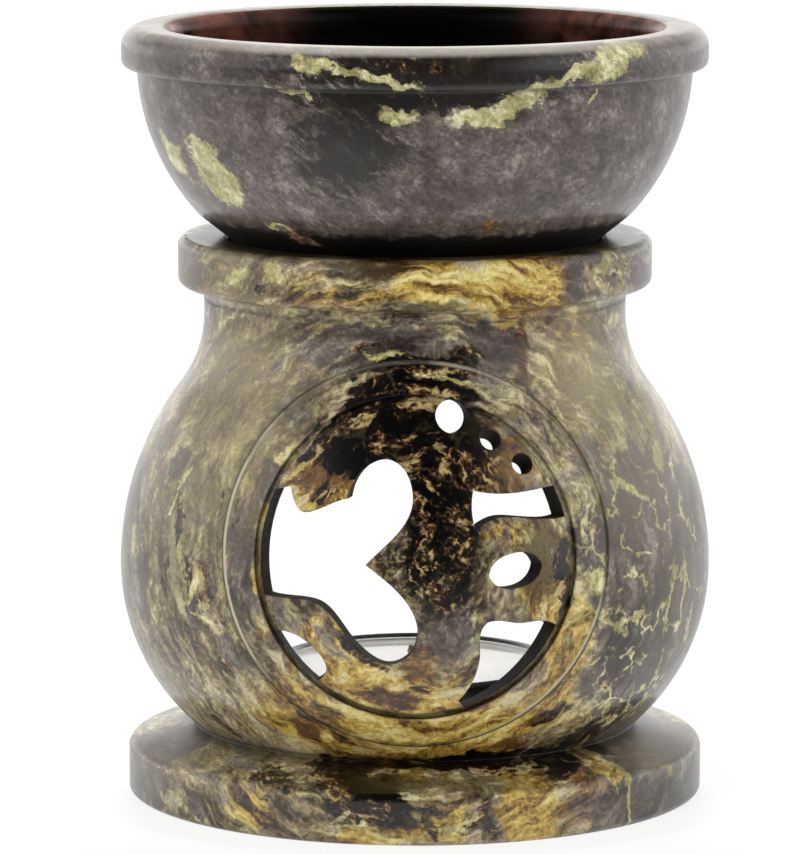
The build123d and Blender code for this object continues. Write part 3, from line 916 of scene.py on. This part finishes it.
def body_stone(groups):
    """The body: streaked olive and ochre in front, grey rock at the right, dark over the motif.

    The engraved circles, the cut walls and the chamber are found by where a point lies. The groove, the
    cut walls and the chamber are painted dark as painted shade, and the collar's top under the bowl as
    painted shadow.
    """
    material, w, shader = new_material("soapstone_body")
    spot, flow, soapstone, polish = groups
    place = w.place()
    x, y, z = w.parts(place)
    flat = unrolled(w, place, x, y, z)
    layers = w.group(flow, {"Place": place, "Fold": 0.006}, "Fine").node.outputs
    torn = w.math("MULTIPLY", w.math("ADD", layers["Broad"], layers["Fine"]), 0.5)
    inputs = {name: layers[name] for name in ("Cloud", "Broad", "Fine", "Grain")}
    inputs["Place"] = place
    inputs["Haze"] = spots(w, spot, flat, torn, 0.1, body_haze)
    inputs["Rock"] = spots(w, spot, flat, torn, 0.36, body_rock)
    inputs["Yellow"] = spots(w, spot, flat, torn, 0.12, body_yellow)
    inputs["Rust"] = spots(w, spot, flat, torn, 0.1, body_rust)
    inputs["Dark"] = spots(w, spot, flat, torn, 0.08, body_dark_and_shadow)
    inputs["StainAndShade"] = spots(w, spot, flat, torn, 0.05, body_stain_and_shade)
    inputs["Veins"] = spots(w, spot, flat, torn, 0.1, body_veins)
    inputs["Cream"] = spots(w, spot, flat, torn, 0.0, body_cream)
    shade = w.group(soapstone, inputs, "Colour")
    shade = w.blend(1.0, shade, (1.0, 0.985, 0.89, 1.0), "MULTIPLY")
    grain = layers["Grain"]

    front = w.span(y, *front_half)
    rise = w.math("SUBTRACT", z, motif_height)
    from_centre = w.length(w.add("CombineXYZ", {0: x, 1: rise}))
    groove = w.math("ABSOLUTE", w.math("SUBTRACT", from_centre, groove_circle_radius))
    # Painted shade in the groove's recess, less of it towards the top
    groove = w.math("MULTIPLY", w.span(groove, *groove_paint, 0.0, 0.75), front)
    groove = w.math("MULTIPLY", groove, w.span(rise, *groove_fade, 0.25, 1.0))
    shade = w.blend(groove, shade, colour("20160c"))
    scribe = w.math("ABSOLUTE", w.math("SUBTRACT", from_centre, scribe_circle_radius))
    clear = spots(w, spot, flat, torn, 0.1, body_scribe)
    scribe = w.math("MULTIPLY", w.span(scribe, *scribe_paint), w.math("MULTIPLY", front, clear))
    shade = w.blend(scribe, shade, colour("e6e0c4"))

    outward = w.vector("NORMALIZE", w.vector("SUBTRACT", place, (0, 0, belly_height)))
    facing = w.add("VectorMath", {0: w.add("NewGeometry", {}, output="Normal"), 1: outward},
                   output="Value", operation="DOT_PRODUCT")
    # Painted shade: the chamber and the cut walls of the openings are painted near black
    belly = w.math("MULTIPLY", w.span(z, *chamber_low), w.span(z, *chamber_high))
    inside = w.math("MULTIPLY", w.span(facing, 0.62, 0.4), belly)
    shade = w.blend(w.math("MULTIPLY", inside, 0.93), shade, colour("140f0c"))
    from_axis = w.length(w.add("CombineXYZ", {0: x, 1: y}))
    # Painted shadow: the collar's top is painted near black where the bowl shades it
    seat_shadow = w.math("MULTIPLY", w.span(z, *seat_shadow_height), w.span(from_axis, *seat_shadow_reach))
    shade = w.blend(w.math("MULTIPLY", seat_shadow, 0.85), shade, colour("0d0907"))
    foot = w.math("ABSOLUTE", w.math("SUBTRACT", z, foot_height))
    shade = w.blend(w.span(foot, *foot_shade, 0.0, 0.6), shade, colour("17110b"))
    finish_stone(w, shader, shade, grain, inside, polish, place, 0.35 * mm)
    return material


def bowl_stone(groups):
    """The bowl's outside: grey-brown rock with ragged cream patches, rough underneath and painted black
    there as painted shade, with a pale lip that is partly wear and partly a painted highlight.
    """
    material, w, shader = new_material("soapstone_bowl")
    spot, flow, soapstone, polish = groups
    place = w.place()
    x, y, z = w.parts(place)
    flat = unrolled(w, place, x, y, z)
    layers = w.group(flow, {"Place": place, "Fold": 0.004}, "Fine").node.outputs
    brushed = {"Vector": flat, "Rotation": (0, 0, radians(-30)), "Scale": (5.0, 1.0, 1.0)}
    brushed = w.noise(w.add("Mapping", brushed, vector_type="TEXTURE"), 1500.0, 4.0, 0.65)
    torn = w.math("ADD", w.math("MULTIPLY", layers["Broad"], 0.4), w.math("MULTIPLY", brushed, 0.6))
    inputs = {"Place": place, "Cloud": layers["Cloud"], "Grain": layers["Grain"]}
    mottled = w.noise(place, 260.0, 5.0, 0.6)
    inputs["Broad"] = w.math("ADD", w.math("MULTIPLY", mottled, bowl_mottling), (1 - bowl_mottling) / 2)
    inputs["Fine"] = w.math("ADD", w.math("MULTIPLY", brushed, bowl_brushing), (1 - bowl_brushing) / 2)
    inputs["StainAndShade"] = spots(w, spot, flat, torn, 0.05, bowl_stain)
    inputs["Rock"] = 1.0
    inputs["Rust"] = spots(w, spot, flat, torn, 0.0, bowl_rust)
    inputs["Dark"] = spots(w, spot, flat, torn, 0.02, bowl_dark)
    inputs["Veins"] = 0.04
    inputs["Cream"] = spots(w, spot, flat, torn, 0.0, bowl_cream)
    shade = w.group(soapstone, inputs, "Colour")
    grain = layers["Grain"]
    ragged = w.math("MULTIPLY", w.math("SUBTRACT", w.noise(place, 500.0, 4.0, 0.6), 0.5), 3 * mm)
    # Painted shade: the underside is painted near black, where shade falls under the bowl
    under = w.span(w.math("ADD", z, ragged), *underside_shade_and_matt)
    shade = w.blend(under, shade, w.blend(grain, colour("020101"), colour("1c140e")))
    chip = w.math("MULTIPLY", spots(w, spot, flat, torn, 0.0, bowl_chip), w.span(grain, 0.3, 0.6))
    shade = w.blend(chip, shade, w.blend(grain, colour("5a3426"), colour("c39a82")))
    line = w.math("ABSOLUTE", w.math("SUBTRACT", z, bowl_neck[1]))
    shade = w.blend(w.span(line, *tool_line_shade, 0.0, 0.6), shade, colour("1a1412"))
    # Pale lip: partly wear and partly a painted highlight along the rim's top, less of it towards the
    # sides
    lip = w.span(w.math("ADD", z, w.math("MULTIPLY", ragged, 0.1)), *lip_wear_and_highlight, 0.0, 0.55)
    lip = w.math("MULTIPLY", lip, w.span(w.math("ABSOLUTE", x), *lip_highlight_fade, 1.0, 0.25))
    shade = w.blend(lip, shade, w.blend(grain, colour("aaa598"), colour("d6d1c4")))
    finish_stone(w, shader, shade, grain, under, polish, place, 0.3 * mm)
    return material


def dark_hollow(groups):
    """The bowl's hollow: near black, reddish towards the rim at the sides, with faint turning rings."""
    material, w, shader = new_material("dark_hollow")
    flow = groups[1]
    place = w.place()
    x, y, z = w.parts(place)
    layers = w.group(flow, {"Place": place, "Fold": 0.006}, "Fine").node.outputs
    rings = w.math("SINE", w.math("MULTIPLY", z, 2 * pi / hollow_ring_pitch))
    side = w.span(w.math("ABSOLUTE", x), *hollow_red_aside)
    rim = w.math("MULTIPLY", w.span(z, *hollow_red_height), side)
    rim = w.math("MULTIPLY", rim, w.span(layers["Cloud"], 0.3, 0.65))
    shade = w.blend(layers["Grain"], colour("020101"), colour("0c0807"))
    shade = w.blend(w.math("MULTIPLY", rim, 0.9), shade, colour("75483a"))
    rough = w.math("ADD", w.math("MULTIPLY", rings, 0.05), w.math("MULTIPLY", layers["Fine"], 0.5))
    bump = w.add("Bump", {"Height": rings, "Strength": 0.1, "Distance": 0.05 * mm})
    w.tree.links.new(shade, shader.inputs["Base Color"])
    w.tree.links.new(rough, shader.inputs["Roughness"])
    w.tree.links.new(bump, shader.inputs["Normal"])
    shader.inputs["Specular IOR Level"].default_value = 0.08
    return material


def cup_sheet():
    """Bright drawn aluminium: fine lines up the side and a few dull smears."""
    material, w, shader = new_material("drawn_aluminium")
    place = w.place()
    drawn = w.add("Mapping", {"Vector": place, "Scale": (1.0, 1.0, 14.0)}, vector_type="TEXTURE")
    lines = w.noise(drawn, 2600.0, 3.0, 0.6)
    smear = w.noise(place, 140.0, 4.0, 0.6)
    shade = w.blend(smear, colour("cfd2d5"), colour("e4e6e8"))
    w.tree.links.new(shade, shader.inputs["Base Color"])
    rough = w.math("ADD", w.math("MULTIPLY", lines, 0.12), w.span(smear, 0.45, 0.7, 0.3, 0.45))
    w.tree.links.new(rough, shader.inputs["Roughness"])
    bump = w.add("Bump", {"Height": lines, "Strength": 0.1, "Distance": 0.05 * mm})
    w.tree.links.new(bump, shader.inputs["Normal"])
    shader.inputs["Metallic"].default_value = 0.75
    return material


def candle_wax():
    """White wax: faint clouds and a soft, slightly uneven surface that lets light in."""
    material, w, shader = new_material("candle_wax")
    place = w.place()
    cloud = w.noise(place, 210.0, 4.0, 0.55)
    w.tree.links.new(w.blend(cloud, colour("f3f0e6"), colour("e6e1d2")), shader.inputs["Base Color"])
    w.tree.links.new(w.span(cloud, 0.35, 0.65, 0.32, 0.48), shader.inputs["Roughness"])
    bump = w.add("Bump", {"Height": w.noise(place, 620.0, 3.0), "Strength": 0.15, "Distance": 0.1 * mm})
    w.tree.links.new(bump, shader.inputs["Normal"])
    shader.inputs["Subsurface Weight"].default_value = 0.35
    shader.inputs["Subsurface Radius"].default_value = (0.004, 0.003, 0.002)
    shader.inputs["Subsurface Scale"].default_value = 1.0
    shader.inputs["Coat Weight"].default_value = 1.0
    shader.inputs["Coat Roughness"].default_value = 0.08
    shader.inputs["Coat IOR"].default_value = 1.6
    return material


def wick_cotton():
    """Waxed cotton: fibres along the braid, a little yellow towards the tip."""
    material, w, shader = new_material("waxed_cotton")
    place = w.place()
    z = w.parts(place)[2]
    drawn = w.add("Mapping", {"Vector": place, "Scale": (1.0, 1.0, 6.0)}, vector_type="TEXTURE")
    fibre = w.noise(drawn, 6000.0, 3.0, 0.6)
    shade = w.blend(fibre, colour("cfc6b0"), colour("f1ecdf"))
    top = tealight_floor + wick_height
    tip = w.span(z, top - 1.2 * mm, top + 0.8 * mm, 0.0, 0.5)
    w.tree.links.new(w.blend(tip, shade, colour("d8c79c")), shader.inputs["Base Color"])
    w.tree.links.new(w.span(fibre, 0.3, 0.7, 0.55, 0.8), shader.inputs["Roughness"])
    bump = w.add("Bump", {"Height": fibre, "Strength": 0.4, "Distance": 0.1 * mm})
    w.tree.links.new(bump, shader.inputs["Normal"])
    return material


def tinned_sheet():
    """Tinned steel of the wick's holder: dull, with a faint crystal pattern."""
    material, w, shader = new_material("tinned_sheet")
    place = w.place()
    spangle = w.add("TexVoronoi", {"Vector": place, "Scale": 900.0}, output="Color")
    tone = w.parts(spangle)[0]
    w.tree.links.new(w.blend(tone, colour("a9abab"), colour("c4c6c6")), shader.inputs["Base Color"])
    w.tree.links.new(w.span(tone, 0.0, 1.0, 0.3, 0.45), shader.inputs["Roughness"])
    shader.inputs["Metallic"].default_value = 1.0
    return material


# Studio


def studio_world():
    """White surroundings. The camera sees plain white. Reflections and diffuse light come from
    white sides and a white back, and from a darker room where the camera stands."""
    world = bpy.data.worlds.new("studio")
    bpy.context.scene.world = world
    world.use_nodes = True
    tree = world.node_tree
    tree.nodes.clear()
    w = Weaver(tree)
    direction = w.add("TexCoord", {}, output="Generated")
    x, y, z = w.parts(direction)
    sides = w.span(w.math("ABSOLUTE", x), 0.42, 0.88)
    back = w.math("MULTIPLY", w.span(y, -0.05, 0.35), w.span(z, 0.16, 0.3, 1.0, 0.4))
    white = w.math("MULTIPLY", w.math("MAXIMUM", sides, back), mirrored_white)
    mirrored = w.math("ADD", white, mirrored_room)
    diffuse = w.span(y, -0.9, 0.2, diffuse_room, diffuse_back)
    path = tree.nodes.new("ShaderNodeLightPath").outputs
    seen = w.math("MAXIMUM", path["Is Camera Ray"], path["Is Transmission Ray"])
    level = w.add("Mix", {0: path["Is Glossy Ray"], 2: diffuse, 3: mirrored}, data_type="FLOAT")
    level = w.add("Mix", {0: seen, 2: level, 3: 1.0}, data_type="FLOAT")
    light = w.add("Background", {"Color": (1, 1, 1, 1), "Strength": level})
    output = tree.nodes.new("ShaderNodeOutputWorld")
    tree.links.new(light, output.inputs["Surface"])


def studio_floor():
    """A wide white floor that keeps a soft shadow and is otherwise as white as the backdrop. In
    reflections its front is as dark as the room there."""
    half = floor_half
    corners = [(-half, -half, 0), (half, -half, 0), (half, half, 0), (-half, half, 0)]
    mesh = bpy.data.meshes.new("floor")
    mesh.from_pydata(corners, [], [(0, 1, 2, 3)])
    floor = bpy.data.objects.new("floor", mesh)
    bpy.context.collection.objects.link(floor)
    material, w, shader = new_material("floor_paper")
    fibre = w.noise(w.place(), 40.0, 3.0, 0.5)
    w.tree.links.new(w.blend(fibre, colour("f2f2f2"), colour("f6f6f6")), shader.inputs["Base Color"])
    shader.inputs["Roughness"].default_value = 0.9
    shader.inputs["Specular IOR Level"].default_value = 0.0
    path = w.tree.nodes.new("ShaderNodeLightPath").outputs
    seen = w.math("MAXIMUM", path["Is Camera Ray"], path["Is Transmission Ray"])
    seen = w.math("MAXIMUM", seen, path["Is Glossy Ray"])
    glow = w.add("Emission", {"Color": (1, 1, 1, 1), "Strength": 1.0})
    share = w.math("MULTIPLY", seen, floor_glow)
    mixed = w.add("MixShader", {0: share, 1: shader.outputs[0], 2: glow})
    front = w.span(w.parts(w.place())[1], *floor_front, 0.0, 0.9)
    dim = w.math("MULTIPLY", path["Is Glossy Ray"], front)
    mixed = w.add("MixShader", {0: dim, 1: mixed})
    output = next(n for n in w.tree.nodes if n.type == "OUTPUT_MATERIAL")
    w.tree.links.new(mixed, output.inputs["Surface"])
    mesh.materials.append(material)


def soft_lamp(name, place, aim, power):
    """A square soft lamp at place that points at aim and doesn't show in reflections."""
    data = bpy.data.lights.new(name, "AREA")
    data.size = lamp_size
    data.energy = power
    lamp = bpy.data.objects.new(name, data)
    bpy.context.collection.objects.link(lamp)
    lamp.location = place
    direction = np.array(aim) - np.array(place)
    flat = np.hypot(direction[0], direction[1])
    lamp.rotation_euler = (np.arctan2(flat, -direction[2]), 0, np.arctan2(-direction[0], direction[1]))
    lamp.visible_glossy = False


def rim_lamp():
    """A narrow soft beam from straight above, as wide as the bowl's rim."""
    data = bpy.data.lights.new("rim_lamp", "SPOT")
    data.energy = rim_lamp_power
    data.spot_size = 2.4 * rim_radius / rim_lamp_rise
    data.spot_blend = 0.5
    data.shadow_soft_size = rim_lamp_radius
    lamp = bpy.data.objects.new("rim_lamp", data)
    bpy.context.collection.objects.link(lamp)
    lamp.location = (0, 0, rim_top + rim_lamp_rise)
    lamp.visible_glossy = False


def photo_camera():
    """The camera of the photograph."""
    data = bpy.data.cameras.new("camera")
    data.sensor_width = sensor_width
    data.lens = sensor_width * lens_pixels / frame_long_side
    data.clip_start = 0.05
    camera = bpy.data.objects.new("camera", data)
    bpy.context.collection.objects.link(camera)
    aside = -axis_right_of_middle / lens_pixels * camera_distance
    camera.location = (aside, -camera_distance, camera_height)
    camera.rotation_euler = (radians(90 - camera_pitch), 0, 0)
    bpy.context.scene.camera = camera


# The scene

bpy.context.scene.view_settings.view_transform = "Standard"
photo_camera()
studio_world()
studio_floor()
for lamp_name, (lamp_place, lamp_aim, lamp_power) in soft_lamps.items():
    soft_lamp(lamp_name, lamp_place, lamp_aim, lamp_power)
rim_lamp()

stone_groups = (spot_group(), flow_group(), soapstone_group(vein_group()), polish_group())

burner_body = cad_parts["burner_body"]
burner_body.data.materials.clear()
burner_body.data.materials.append(body_stone(stone_groups))
wick_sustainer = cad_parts["wick_sustainer"]
wick_sustainer.data.materials.clear()
wick_sustainer.data.materials.append(tinned_sheet())

bowl = piece(bowl_mesh(), "bowl", "oil_bowl", bowl_stone(stone_groups))
line_hollow(bowl.data, dark_hollow(stone_groups))
piece(cup_mesh(), "tealight", "tealight_cup", cup_sheet())
piece(wax_mesh(), "tealight", "tealight_wax", candle_wax())
piece(wick_mesh(), "tealight", "wick", wick_cotton())
